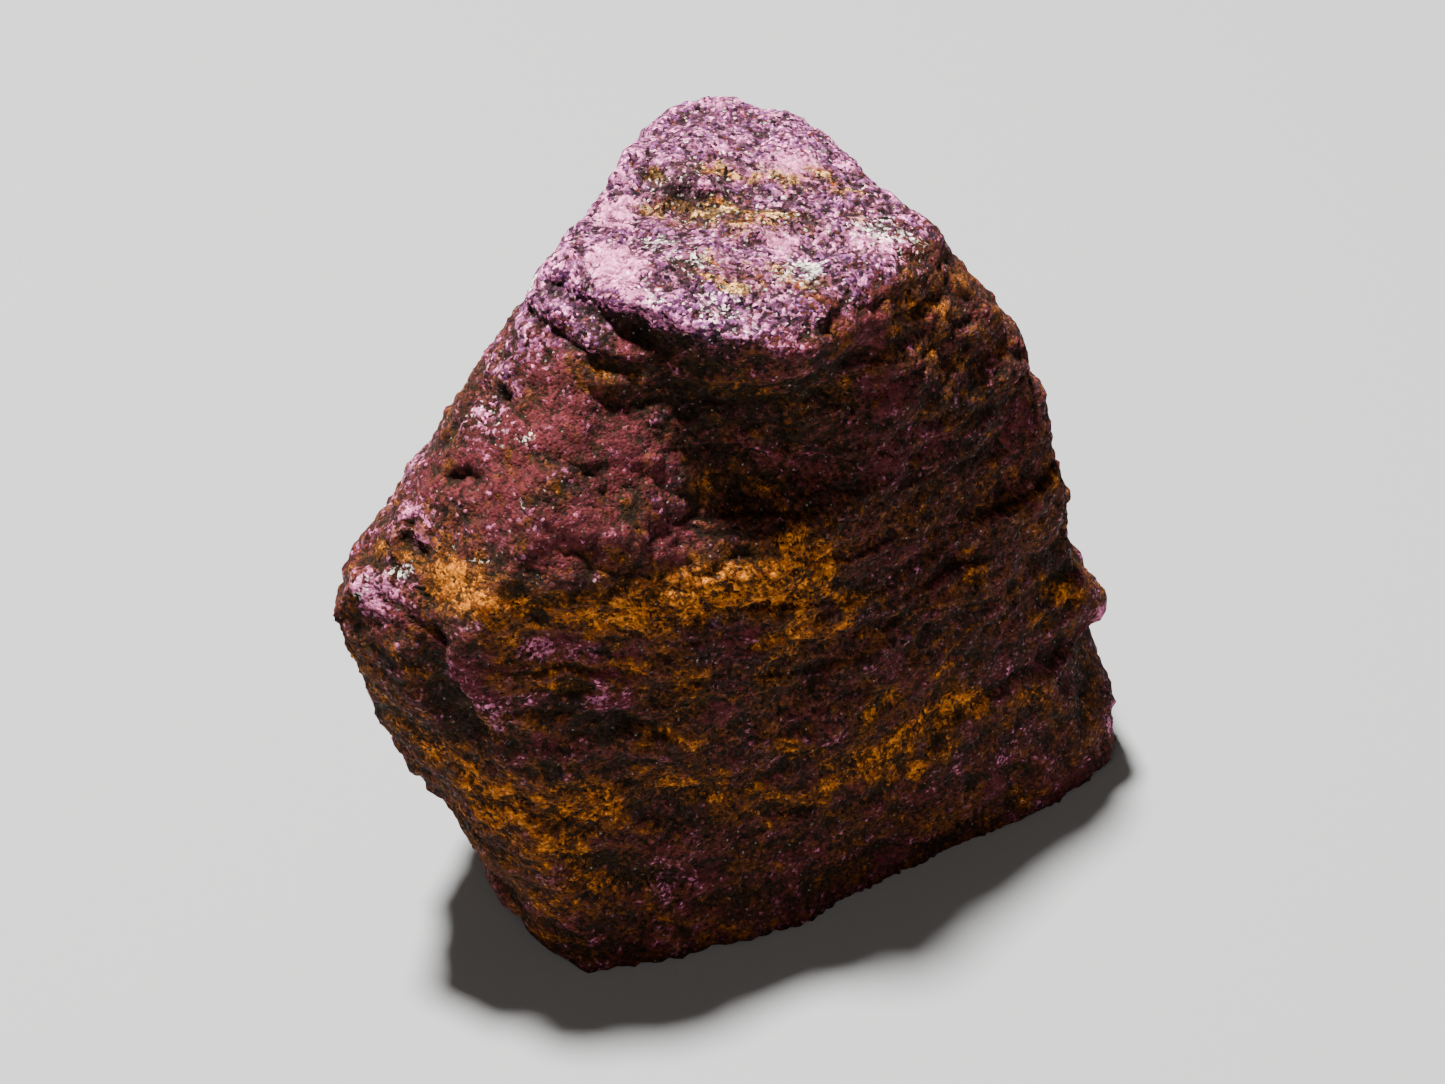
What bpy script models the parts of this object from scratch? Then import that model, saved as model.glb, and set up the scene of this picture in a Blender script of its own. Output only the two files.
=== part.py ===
"""A hand-sized broken lump of purpurite, one solid stone resting on its own flat cleavage face.

The stone is made as it formed: a block of named corners, chipped along its edges, with flat breaks
and shell-shaped fractures taken out of it, swollen where it stands proud, and then the ledges and
lumps of its bedding raised on the broken faces. All lengths are in millimetres until the mesh is
written. +Z is up, the tall broken face that is seen first looks along -Y, and the origin is on the
resting face, under the middle of the stone.
"""

from dataclasses import dataclass

import bmesh
import bpy
import numpy as np
from mathutils import Matrix

MM = 0.001

# The corners of the block before it was chipped, in millimetres.
CORNERS = {
    "foot_near": (-8.1, -15.5, -0.8),
    "foot_front": (2.7, -11.5, -0.8),
    "foot_right": (16.9, -3.2, -0.8),
    "heel_near": (-11.1, -12.8, -0.8),
    "heel_left": (-12.3, 4.7, -0.8),
    "heel_back": (3.4, 14.3, -0.8),
    "heel_right": (16.2, 10.2, -0.8),
    "flank_low": (-16.7, -10.7, 8.0),
    "edge_low": (-9.2, -15.8, 5.1),
    "edge_mid": (-12.1, -16.1, 15.1),
    "edge_high": (-14.4, -16.1, 23.2),
    "left_tip": (-21.0, -13.1, 23.1),
    "left_brow": (-18.7, -11.5, 25.9),
    "left_mid": (-15.4, -9.5, 30.6),
    "left_high": (-13.0, -7.5, 33.6),
    "lobe": (-7.8, -12.6, 32.0),
    "belly": (0.3, -12.2, 19.8),
    "brow_left": (-9.9, -5.4, 37.4),
    "brow_1": (-5.8, -8.7, 37.6),
    "brow_2": (-0.2, -9.7, 36.5),
    "brow_3": (3.1, -8.2, 36.1),
    "brow_4": (5.6, -4.6, 35.9),
    "shoulder": (9.3, -0.3, 35.1),
    "crest_left": (-4.0, 6.9, 38.6),
    "crest": (-1.6, 8.2, 38.6),
    "crest_right": (1.9, 7.4, 37.4),
    "right_high": (12.9, -0.5, 30.7),
    "right_mid": (15.5, 0.5, 21.7),
    "right_nub": (18.2, 1.5, 9.8),
    "right_toe": (20.9, 1.1, -0.5),
    "back_left_top": (-6.5, 2.1, 37.3),
    "back_left": (-17.1, -1.4, 20.5),
    "back_belly": (-5.1, 15.9, 17.0),
    "back_right": (14.1, 12.3, 19.0),
    "back_high": (2.4, 13.6, 30.0),
}
HEART = np.array([-0.7, -0.2, 22.5])  # every direction over the surface starts here
EDGE_SHARPNESS = 110  # higher keeps the block's edges crisper

# Chips knock the edges and corners off the block.
CHIP_COUNT = 120
CHIP_DEPTH = (0.15, 0.8)
CHIP_SEED = 11
CHIP_BLEND = 0.3  # over how many millimetres a chip runs out into the block

# Breaks and hollows follow directions that wander a little, so that no rim is a clean line.
WANDER_SPAN = 0.30
WANDER_SHARE = 0.020

# The grid of points over the stone, and the share of triangles kept where the form allows it.
GRID_CELLS = 64
TRIANGLES_KEPT = 0.19

RESTING_LEVEL = 0.0
CUTTER_SIZE = (60.0, 60.0, 8.0)

# The bay under the brow: its back, its floor and its side towards the lobe. Two breaks share them,
# one for each way that the brow above it faces.
BAY_WALLS = (
    ((-1.0, -8.4, 30.0), (0.296, -0.929, 0.23)),
    ((1.5, -10.6, 24.6), (0.275, -0.671, 0.687)),
    ((-5.1, -9.5, 31.0), (0.52, -0.66, 0.54)),
)

# Flat breaks: a piece is gone where all of a break's planes are passed. Each plane is a point on it
# and the way that it faces.
BREAKS = {
    "step_beside_bay": (
        ((-4.7, -8.8, 36.6), (-0.42, -0.88, -0.22)),
        ((-8.1, -8.9, 35.5), (0.25, -0.50, 0.83)),
    ),
    "bay_middle": (((0.0, -9.1, 35.8), (0.06, -0.96, -0.28)), *BAY_WALLS),
    "bay_right": (((2.6, -8.6, 35.6), (0.62, -0.74, -0.24)), *BAY_WALLS),
    "slot_in_left_flank": (
        ((-14.5, -15.8, 20.8), (-0.88, -0.30, -0.37)),
        ((-14.4, -13.9, 20.0), (-0.45, -0.89, 0.06)),
        ((-16.6, -14.6, 21.4), (0.12, -0.97, 0.10)),
    ),
    "notch_in_right_edge": (
        ((16.9, 1.5, 8.4), (0.84, -0.30, 0.46)),
        ((16.9, 1.5, 8.4), (0.71, -0.26, -0.66)),
    ),
    "step_above_left_tip": (
        ((-18.0, -11.4, 25.4), (-0.45, -0.30, 0.84)),
        ((-17.6, -11.2, 26.4), (-0.90, -0.35, 0.25)),
    ),
    "pit_at_brow_end": (
        ((-9.6, -6.4, 36.4), (-0.35, -0.75, 0.55)),
        ((-9.2, -6.0, 36.6), (-0.80, 0.10, 0.58)),
    ),
    "ledge_on_far_side": (
        ((-4.0, 13.6, 24.5), (-0.25, 0.92, 0.28)),
        ((-4.0, 12.0, 28.5), (-0.1, 0.30, 0.95)),
        ((-2.5, 12.5, 26.0), (-0.85, 0.5, 0.1)),
    ),
}
BREAK_ROUNDING = 0.7  # how softly the planes of one break meet
RIM_BLEND = 0.25  # over how many millimetres a break's rim runs out
SOFT_RIM_BLENDS = {"bay_middle": 0.9}


@dataclass
class Hollow:
    """A shell-shaped fracture: the part of an ellipsoid that reaches into the stone."""

    middle: tuple
    outward: tuple
    along: tuple
    half_out: float
    half_along: float
    half_across: float


HOLLOWS = (
    # Dips in the outline: above the left tip, beside the crest on both sides.
    Hollow((-17.4, -10.2, 30.4), (-0.6, -0.4, 0.6), (0.4, 0.5, 0.75), 1.6, 3.0, 2.0),
    Hollow((-9.6, 1.0, 39.4), (-0.6, 0.0, 0.8), (0.3, 1.0, 0.2), 2.0, 4.0, 2.6),
    Hollow((6.6, 5.4, 38.6), (0.45, 0.3, 0.85), (1, -0.6, -0.4), 2.6, 5.4, 3.6),
    # The dished top, in front of the crest.
    Hollow((-0.8, -2.6, 41.4), (0.12, -0.05, 1.0), (1, 0.3, 0), 4.6, 8.5, 6.5),
    # The large shell fractures of the back and of the far side.
    Hollow((-15.4, 11.4, 27.5), (-0.75, 0.6, 0.2), (0.5, 0.6, 0.2), 7.0, 10.0, 9.0),
    Hollow((8.6, 19.2, 11.6), (0.25, 0.97, 0.0), (1, -0.2, 0.3), 6.0, 11.0, 8.0),
    Hollow((20.6, 8.6, 25.4), (0.9, 0.35, 0.3), (0.0, 0.6, -0.8), 5.6, 9.0, 7.0),
    Hollow((-19.6, -1.0, 7.0), (-0.9, 0.1, -0.3), (0.1, 1, 0), 5.0, 9.0, 6.5),
)
HOLLOW_BLEND = 0.35

# Where the stone stands proud: the middle of the swelling, how far it is pushed, and its span.
SWELLINGS = (
    ((0.2, -9.4, 36.0), (0.0, -0.6, -0.2), 2.6),
    ((-7.8, -13.4, 25.2), (-0.1, -1.0, 0.2), 5.4),
    ((-14.4, -15.0, 21.0), (0.2, -0.5, 0.0), 3.4),
    ((18.4, 1.4, 10.2), (0.3, -0.1, 0.2), 2.0),
)

# Bedding: ledges a few millimetres thick that sag. They dip to the right on the left side, and level
# out to the right. Their height over Z changes by these shares of X, X squared and Y.
BED_DIP = (0.195, -0.0102, 0.10)
BED_WAVES = ((9.0, 1.2), (2.1, 0.30))  # how far apart and how high the beds wave
BED_THICKNESS = 2.3
LEDGE_HEIGHT = 0.45
LEDGE_SPAN = 6.5
LEDGE_BEVEL = 0.16

# Grooves between slabs: each end, the width and the depth. The first two leave the notch across the
# front, and the last two are the slit beside the slab on the left flank.
GROOVES = (
    ((18.2, 1.0, 9.8), (14.3, -3.5, 10.2), 0.7, 0.7),
    ((14.3, -3.5, 10.2), (9.5, -6.6, 9.9), 0.6, 0.45),
    ((-15.3, -15.6, 23.4), (-13.8, -15.4, 19.6), 0.55, 0.7),
    ((-13.8, -15.4, 19.6), (-12.9, -15.2, 16.6), 0.5, 0.6),
)
GROOVE_WANDER, GROOVE_WANDER_SPAN = 0.35, 1.3

# Lumps and hackly facets. Each set of facets has its span along X, Y and Z in millimetres, and its
# height. The last set is drawn out along X, as the streaked lumps of the top are.
SWELL_SPAN, SWELL_HEIGHT = 9.0, 0.38
FACET_SETS = (((5.2, 5.2, 5.2), 0.50), ((2.6, 2.6, 2.6), 0.27), ((4.2, 1.9, 1.6), 0.30))
FACET_TILT = 0.42
FACET_FALL = 0.9

STONE_COLOUR = (0.13, 0.045, 0.075, 1.0)
STONE_ROUGHNESS = 0.62


def clear_scene():
    for thing in list(bpy.data.objects):
        bpy.data.objects.remove(thing)


def unit(vectors):
    vectors = np.asarray(vectors, float)
    return vectors / np.linalg.norm(vectors, axis=-1, keepdims=True)


def hashed(cells, salt):
    """A fixed number from 0 to 1 for each whole-numbered cell, the same on every run."""
    c = np.asarray(cells).astype(np.int64)
    mixed = c[..., 0] * 73856093 ^ c[..., 1] * 19349663 ^ c[..., 2] * 83492791 ^ salt * 40503
    mixed = mixed & 0xFFFFFFFF
    mixed = ((mixed ^ (mixed >> 15)) * 2246822519) & 0xFFFFFFFF
    mixed = ((mixed ^ (mixed >> 13)) * 3266489917) & 0xFFFFFFFF
    return ((mixed ^ (mixed >> 16)) & 0xFFFFFF) / float(0xFFFFFF)


def cell_corners():
    return [np.array([i, j, k]) for i in (0, 1) for j in (0, 1) for k in (0, 1)]


def smooth_noise(points, salt):
    """Gradient noise, about -1 to 1: each corner of a unit cell pulls along its own hashed slope."""
    whole = np.floor(points).astype(np.int64)
    part = points - whole
    ease = part**3 * (part * (part * 6 - 15) + 10)
    total = np.zeros(len(points))
    for corner in cell_corners():
        cell = whole + corner
        slope = np.stack([hashed(cell, salt + 7 * axis) for axis in range(3)], axis=-1) * 2 - 1
        weight = np.where(corner, ease, 1 - ease).prod(axis=-1)
        total += weight * (slope * (part - corner)).sum(axis=-1)
    return total * 1.6


def facets(points, salt):
    """Hackly facets: the upper envelope of tilted caps, one in each unit cell, from about -0.5 to 0.5."""
    whole = np.floor(points).astype(np.int64)
    best = np.full(len(points), -1e9)
    for i in (-1, 0, 1):
        for j in (-1, 0, 1):
            for k in (-1, 0, 1):
                cell = whole + np.array([i, j, k])
                seat = np.stack([hashed(cell, salt + axis) for axis in range(3)], axis=-1)
                tilt = np.stack([hashed(cell, salt + 5 + axis) for axis in range(3)], axis=-1) - 0.5
                away = points - cell - seat
                height = hashed(cell, salt + 11) * 0.6 - FACET_FALL * (away**2).sum(axis=-1)
                best = np.maximum(best, height + 2 * FACET_TILT * (tilt * away).sum(axis=-1))
    return best - 0.2


def block_planes():
    """The faces of the block's convex hull: unit normals, and their distances from HEART."""
    shell = bmesh.new()
    for corner in CORNERS.values():
        shell.verts.new(corner)
    bmesh.ops.convex_hull(shell, input=shell.verts)
    shell.normal_update()
    normals, distances = [], []
    for face in shell.faces:
        normal = np.array(face.normal)
        distance = normal @ (np.array(face.verts[0].co) - HEART)
        outward = 1.0 if distance > 0 else -1.0
        normals.append(outward * normal)
        distances.append(outward * distance)
    shell.free()
    return np.array(normals), np.array(distances)


def chip_planes():
    """Flat chips at seeded angles, each cutting a little below the block's furthest corner that way."""
    seeded = np.random.default_rng(CHIP_SEED)
    normals = unit(seeded.normal(size=(CHIP_COUNT, 3)))
    depth = seeded.uniform(*CHIP_DEPTH, size=CHIP_COUNT)
    reach = (normals @ (np.array(list(CORNERS.values())) - HEART).T).max(axis=1)
    return normals, reach - depth


def soft_smaller(a, b, blend):
    """The smaller of two lengths, with the corner between them rounded over the blend length."""
    share = np.clip(0.5 + 0.5 * (b - a) / blend, 0, 1)
    return b + (a - b) * share - blend * share * (1 - share)


def soft_larger(a, b, blend):
    return -soft_smaller(-a, -b, blend)


def hollow_reach(directions, hollow):
    """How far each direction runs from HEART before it enters the hollow, or 1000 where it misses."""
    out = unit(hollow.outward)
    across = unit(np.cross(out, hollow.along))
    along = np.cross(across, out)
    squeeze = np.array([out / hollow.half_out, along / hollow.half_along, across / hollow.half_across])
    ray = directions @ squeeze.T
    start = squeeze @ (HEART - np.array(hollow.middle))
    a = (ray**2).sum(axis=-1)
    b = ray @ start
    inside = b**2 - a * (start @ start - 1)
    near = (-b - np.sqrt(np.maximum(inside, 0))) / a
    return np.where((inside > 0) & (near > 0), near, 1000.0)


def break_reach(directions, planes):
    """How far each direction runs from HEART before it has passed all the planes of a break."""
    furthest = np.zeros(len(directions))
    for point, facing in planes:
        facing = unit(facing)
        gap = facing @ (np.array(point) - HEART)
        slope = directions @ facing
        passed = np.where(slope > 1e-3, gap / np.maximum(slope, 1e-3), 1000.0)
        furthest = soft_larger(furthest, passed, BREAK_ROUNDING)
    return furthest


def wandering(directions):
    shift = [smooth_noise(directions / WANDER_SPAN, salt) for salt in (71, 72, 73)]
    return unit(directions + WANDER_SHARE * np.stack(shift, axis=-1))


def broken_reach(directions):
    """The distance from HEART to the chipped, broken and hollowed block along each direction."""
    normals, distances = block_planes()
    slopes = np.maximum(directions @ (normals / distances[:, None]).T, 0)
    reach = 1 / (slopes**EDGE_SHARPNESS).sum(axis=1) ** (1 / EDGE_SHARPNESS)
    normals, distances = chip_planes()
    chipped = 1 / (directions @ (normals / distances[:, None]).T).max(axis=1)
    reach = soft_smaller(reach, chipped, CHIP_BLEND)
    loose = wandering(directions)
    for name, planes in BREAKS.items():
        reach = soft_smaller(reach, break_reach(loose, planes), SOFT_RIM_BLENDS.get(name, RIM_BLEND))
    for hollow in HOLLOWS:
        reach = soft_smaller(reach, hollow_reach(loose, hollow), HOLLOW_BLEND)
    return reach


def swollen(points):
    moved = points.copy()
    for middle, push, span in SWELLINGS:
        near = np.exp(-((points - np.array(middle)) ** 2).sum(axis=-1) / span**2)
        moved += near[:, None] * np.array(push)
    return moved


def bed_level(points):
    """The height of each point within the sagging beds."""
    x, y, z = points.T
    along, curve, inward = BED_DIP
    waves = sum(height * smooth_noise(points / span, 21) for span, height in BED_WAVES)
    return z + along * x + curve * x**2 + inward * y + waves


def ledges(points):
    """Each bed stands out by its own amount, which changes slowly along it, with a short bevel between beds."""
    bed = bed_level(points) / BED_THICKNESS
    index = np.floor(bed)
    rise = np.clip((bed - index) * BED_THICKNESS / LEDGE_BEVEL, 0, 1)
    rise = rise * rise * (3 - 2 * rise)

    def standing(number):
        place = points / LEDGE_SPAN
        return smooth_noise(np.column_stack([place[:, 0], place[:, 1], number * 3.7]), 31)

    return standing(index - 1) * (1 - rise) + standing(index) * rise


def groove_depth(points):
    """The depth of the deepest groove at each point: a bell over the distance to the groove's line."""
    shift = [smooth_noise(points / GROOVE_WANDER_SPAN, salt) for salt in (81, 82, 83)]
    loose = points + GROOVE_WANDER * np.stack(shift, axis=-1)
    deepest = np.zeros(len(points))
    for start, end, width, depth in GROOVES:
        start, run = np.array(start), np.array(end) - np.array(start)
        along = np.clip((loose - start) @ run / (run @ run), 0, 1)
        gap = ((loose - start - along[:, None] * run) ** 2).sum(axis=1)
        deepest = np.maximum(deepest, depth * np.exp(-gap / width**2))
    return deepest


def relief(points):
    """Height of the surface over the broken block, in millimetres."""
    height = SWELL_HEIGHT * smooth_noise(points / SWELL_SPAN, 41)
    for number, (spans, tall) in enumerate(FACET_SETS):
        height += tall * facets(points / np.array(spans), 51 + 20 * number)
    return height + LEDGE_HEIGHT * ledges(points) - groove_depth(points)


def grid_ball():
    """A cube of even grid cells, to be blown out to the stone, so that no part of it lacks points."""
    ball = bmesh.new()
    bmesh.ops.create_cube(ball, size=2.0)
    bmesh.ops.subdivide_edges(ball, edges=ball.edges[:], cuts=GRID_CELLS - 1, use_grid_fill=True)
    mesh = bpy.data.meshes.new("purpurite_mass")
    ball.to_mesh(mesh)
    ball.free()
    return mesh


def read_points(mesh):
    flat = np.empty(len(mesh.vertices) * 3, np.float32)
    mesh.vertices.foreach_get("co", flat)
    return flat.reshape(-1, 3).astype(float)


def read_normals(mesh):
    flat = np.empty(len(mesh.vertices) * 3, np.float32)
    mesh.vertex_normals.foreach_get("vector", flat)
    return flat.reshape(-1, 3).astype(float)


def write_points(mesh, points):
    mesh.vertices.foreach_set("co", points.astype(np.float32).ravel())
    mesh.update()


def shape_stone(mesh):
    """Moves each grid point out to the broken block, and then along the surface normal by the relief."""
    directions = unit(np.tan(read_points(mesh) * np.pi / 4))
    points = swollen(HEART + directions * broken_reach(directions)[:, None])
    write_points(mesh, points)
    write_points(mesh, points + read_normals(mesh) * relief(points)[:, None])
    mesh.transform(Matrix.Scale(MM, 4))


def stone_material():
    material = bpy.data.materials.new("purpurite")
    material.use_nodes = True
    surface = material.node_tree.nodes["Principled BSDF"]
    surface.inputs["Base Color"].default_value = STONE_COLOUR
    surface.inputs["Roughness"].default_value = STONE_ROUGHNESS
    surface.inputs["Metallic"].default_value = 0.0
    return material


def make_foot_cutter():
    """The block under the resting level, which cuts the foot of the stone flat."""
    block = bmesh.new()
    bmesh.ops.create_cube(block, size=MM)
    bmesh.ops.scale(block, vec=CUTTER_SIZE, verts=block.verts)
    lowered = (RESTING_LEVEL - CUTTER_SIZE[2] / 2) * MM
    bmesh.ops.translate(block, vec=(0, 0, lowered), verts=block.verts)
    mesh = bpy.data.meshes.new("foot_cutter")
    block.to_mesh(mesh)
    block.free()
    cutter = bpy.data.objects.new("foot_cutter", mesh)
    bpy.context.scene.collection.objects.link(cutter)
    cutter.hide_render = True
    cutter.display_type = "WIRE"
    return cutter


def make_stone(foot_cutter):
    mesh = grid_ball()
    shape_stone(mesh)
    mesh.materials.append(stone_material())
    stone = bpy.data.objects.new("purpurite_mass", mesh)
    bpy.context.scene.collection.objects.link(stone)
    fewer = stone.modifiers.new("fewer_triangles", "DECIMATE")
    fewer.ratio = TRIANGLES_KEPT
    foot = stone.modifiers.new("flat_foot", "BOOLEAN")
    foot.operation = "DIFFERENCE"
    foot.object = foot_cutter
    return stone


clear_scene()
make_stone(make_foot_cutter())
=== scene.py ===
"""The looks of a purpurite hand specimen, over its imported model.

One loose stone stands on its own broken foot. All lengths are in millimetres until a mesh is
written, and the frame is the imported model's: +Z is up, the tall dark face looks along -Y.
"""

import itertools

import bpy
import numpy as np
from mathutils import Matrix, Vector


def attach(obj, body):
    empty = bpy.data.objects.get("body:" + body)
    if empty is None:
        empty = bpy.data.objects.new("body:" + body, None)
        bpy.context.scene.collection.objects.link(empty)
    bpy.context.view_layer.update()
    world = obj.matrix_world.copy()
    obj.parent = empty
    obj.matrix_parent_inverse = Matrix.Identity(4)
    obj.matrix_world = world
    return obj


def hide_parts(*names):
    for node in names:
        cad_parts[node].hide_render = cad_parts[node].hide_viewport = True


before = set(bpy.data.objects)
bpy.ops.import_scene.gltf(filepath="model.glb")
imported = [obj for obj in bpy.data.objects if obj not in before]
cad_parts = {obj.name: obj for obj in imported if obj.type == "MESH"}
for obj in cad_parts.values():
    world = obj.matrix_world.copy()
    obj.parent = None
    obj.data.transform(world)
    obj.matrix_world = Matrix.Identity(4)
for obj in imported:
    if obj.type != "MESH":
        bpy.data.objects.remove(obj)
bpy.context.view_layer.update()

# The stone: its broken block

# The specimen is one lump of purpurite, broken from a vein and never cut or polished. Its outer form
# is a block of corners with the edges chipped off, pieces broken away along flat planes, and
# shell-shaped hollows where a fracture curved.

MM = 0.001  # the stone is worked out in millimetres, and its mesh is written in metres

CORNERS = np.array([
    (-8.1, -15.5, -0.8), (2.7, -11.5, -0.8), (16.9, -3.2, -0.8),  # the foot, along the front
    (-11.1, -12.8, -0.8), (-12.3, 4.7, -0.8), (3.4, 14.3, -0.8), (16.2, 10.2, -0.8),  # round the back
    (-16.7, -10.7, 8.0), (-9.2, -15.8, 5.1), (-12.1, -16.1, 15.1), (-14.4, -16.1, 23.2),  # left flank
    (-21.0, -13.1, 23.1), (-18.7, -11.5, 25.9), (-15.4, -9.5, 30.6), (-13.0, -7.5, 33.6),  # left tip
    (-7.8, -12.6, 32.0), (0.3, -12.2, 19.8),  # the lobe and the belly of the front
    (-9.9, -5.4, 37.4), (-5.8, -8.7, 37.6), (-0.2, -9.7, 36.5), (3.1, -8.2, 36.1),  # the brow
    (5.6, -4.6, 35.9), (9.3, -0.3, 35.1),  # the brow's right end
    (-4.0, 6.9, 38.6), (-1.6, 8.2, 38.6), (1.9, 7.4, 37.4),  # the crest
    (12.9, -0.5, 30.7), (15.5, 0.5, 21.7), (18.2, 1.5, 9.8), (20.9, 1.1, -0.5),  # right edge, to the toe
    (-6.5, 2.1, 37.3), (-17.1, -1.4, 20.5), (-5.1, 15.9, 17.0),  # the back, on the left
    (14.1, 12.3, 19.0), (2.4, 13.6, 30.0),  # and on the right
])
HEART = np.array([-0.7, -0.2, 22.5])  # every direction over the surface starts here
EDGE_SHARPNESS = 110  # higher keeps the block's edges crisper
MISSED = 1000.0  # how far a ray runs that meets nothing
LEAST_SLOPE, LEAST_GAP = 1e-3, 1e-6  # smaller ones count as none

# Chips knock the edges and corners off the block, each running out over the blend length.
CHIP_COUNT, CHIP_DEPTH, CHIP_SEED = 120, (0.15, 0.8), 11
CHIP_BLEND = 0.3

# The bay under the brow: its back, its floor and its side towards the lobe. Two breaks share them,
# one for each way that the brow above it faces.
BAY_WALLS = (
    ((-1.0, -8.4, 30.0), (0.296, -0.929, 0.23)),
    ((1.5, -10.6, 24.6), (0.275, -0.671, 0.687)),
    ((-5.1, -9.5, 31.0), (0.52, -0.66, 0.54)),
)

# A piece is gone where all of a break's planes are passed: a point on each, and the way it faces.
BREAKS = {
    "step_beside_bay": (
        ((-4.7, -8.8, 36.6), (-0.42, -0.88, -0.22)),
        ((-8.1, -8.9, 35.5), (0.25, -0.50, 0.83)),
    ),
    "bay_middle": (((0.0, -9.1, 35.8), (0.06, -0.96, -0.28)), *BAY_WALLS),
    "bay_right": (((2.6, -8.6, 35.6), (0.62, -0.74, -0.24)), *BAY_WALLS),
    "slot_in_left_flank": (
        ((-14.5, -15.8, 20.8), (-0.88, -0.30, -0.37)),
        ((-14.4, -13.9, 20.0), (-0.45, -0.89, 0.06)),
        ((-16.6, -14.6, 21.4), (0.12, -0.97, 0.10)),
    ),
    "notch_in_right_edge": (
        ((16.9, 1.5, 8.4), (0.84, -0.30, 0.46)),
        ((16.9, 1.5, 8.4), (0.71, -0.26, -0.66)),
    ),
    "step_above_left_tip": (
        ((-18.0, -11.4, 25.4), (-0.45, -0.30, 0.84)),
        ((-17.6, -11.2, 26.4), (-0.90, -0.35, 0.25)),
    ),
    "pit_at_brow_end": (
        ((-9.6, -6.4, 36.4), (-0.35, -0.75, 0.55)),
        ((-9.2, -6.0, 36.6), (-0.80, 0.10, 0.58)),
    ),
    "ledge_on_far_side": (
        ((-4.0, 13.6, 24.5), (-0.25, 0.92, 0.28)),
        ((-4.0, 12.0, 28.5), (-0.1, 0.30, 0.95)),
        ((-2.5, 12.5, 26.0), (-0.85, 0.5, 0.1)),
    ),
}
BREAK_ROUNDING = 0.7  # how softly the planes of one break meet
RIM_BLEND = 0.25  # over how many millimetres a break's rim runs out
SOFT_RIM_BLENDS = {"bay_middle": 0.9}

# Shell fractures: the middle of an ellipsoid, the way it opens, its long axis, and its half sizes
# out of the stone, along and across.
HOLLOWS = (
    ((-17.4, -10.2, 30.4), (-0.6, -0.4, 0.6), (0.4, 0.5, 0.75), (1.6, 3.0, 2.0)),
    ((-9.6, 1.0, 39.4), (-0.6, 0.0, 0.8), (0.3, 1.0, 0.2), (2.0, 4.0, 2.6)),
    ((6.6, 5.4, 38.6), (0.45, 0.3, 0.85), (1, -0.6, -0.4), (2.6, 5.4, 3.6)),
    ((-0.8, -2.6, 41.4), (0.12, -0.05, 1.0), (1, 0.3, 0), (4.6, 8.5, 6.5)),
    ((-15.4, 11.4, 27.5), (-0.75, 0.6, 0.2), (0.5, 0.6, 0.2), (7.0, 10.0, 9.0)),
    ((8.6, 19.2, 11.6), (0.25, 0.97, 0.0), (1, -0.2, 0.3), (6.0, 11.0, 8.0)),
    ((20.6, 8.6, 25.4), (0.9, 0.35, 0.3), (0.0, 0.6, -0.8), (5.6, 9.0, 7.0)),
    ((-19.6, -1.0, 7.0), (-0.9, 0.1, -0.3), (0.1, 1, 0), (5.0, 9.0, 6.5)),
)
HOLLOW_BLEND = 0.35

# Breaks and hollows follow directions that wander a little, so that no rim is a clean line.
WANDER_SPAN, WANDER_SHARE = 0.30, 0.020
NOISE_GAIN = 1.6  # brings gradient noise up to about -1 to 1

# Where the stone stands proud: the middle of the swelling, how far it is pushed, and its span.
SWELLINGS = (
    ((0.2, -9.4, 36.0), (0.0, -0.6, -0.2), 2.6),
    ((-7.8, -13.4, 25.2), (-0.1, -1.0, 0.2), 5.4),
    ((-14.4, -15.0, 21.0), (0.2, -0.5, 0.0), 3.4),
    ((18.4, 1.4, 10.2), (0.3, -0.1, 0.2), 2.0),
)


def unit(vectors):
    """Each vector over its own length."""
    vectors = np.asarray(vectors, float)
    return vectors / np.linalg.norm(vectors, axis=-1, keepdims=True)


def hashed(cells, salt):
    """A fixed number from 0 to 1 for each whole-numbered cell, from its bits mixed and multiplied.

    The salt tells one use of it from another.
    """
    c = np.asarray(cells).astype(np.int64)
    mixed = c[..., 0] * 73856093 ^ c[..., 1] * 19349663 ^ c[..., 2] * 83492791 ^ salt * 40503
    mixed = mixed & 0xFFFFFFFF
    mixed = ((mixed ^ (mixed >> 15)) * 2246822519) & 0xFFFFFFFF
    mixed = ((mixed ^ (mixed >> 13)) * 3266489917) & 0xFFFFFFFF
    return ((mixed ^ (mixed >> 16)) & 0xFFFFFF) / float(0xFFFFFF)


def swirl(points, salt):
    """Gradient noise, about -1 to 1: each corner of a unit cell pulls along its own hashed slope.

    The eight pulls are weighted by a fifth-power ease along each axis.
    """
    whole = np.floor(points).astype(np.int64)
    part = points - whole
    ease = part**3 * (part * (part * 6 - 15) + 10)
    total = np.zeros(len(points))
    for corner in itertools.product((0, 1), repeat=3):
        corner = np.array(corner)
        cell = whole + corner
        slope = np.stack([hashed(cell, salt + 7 * axis) for axis in range(3)], axis=-1) * 2 - 1
        weight = np.where(corner, ease, 1 - ease).prod(axis=-1)
        total += weight * (slope * (part - corner)).sum(axis=-1)
    return total * NOISE_GAIN


def wandered(points, span, distance, salt):
    """The points, each pushed about by three swirls, one along each axis."""
    push = np.stack([swirl(points / span, salt + axis) for axis in range(3)], axis=-1)
    return points + distance * push


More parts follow.
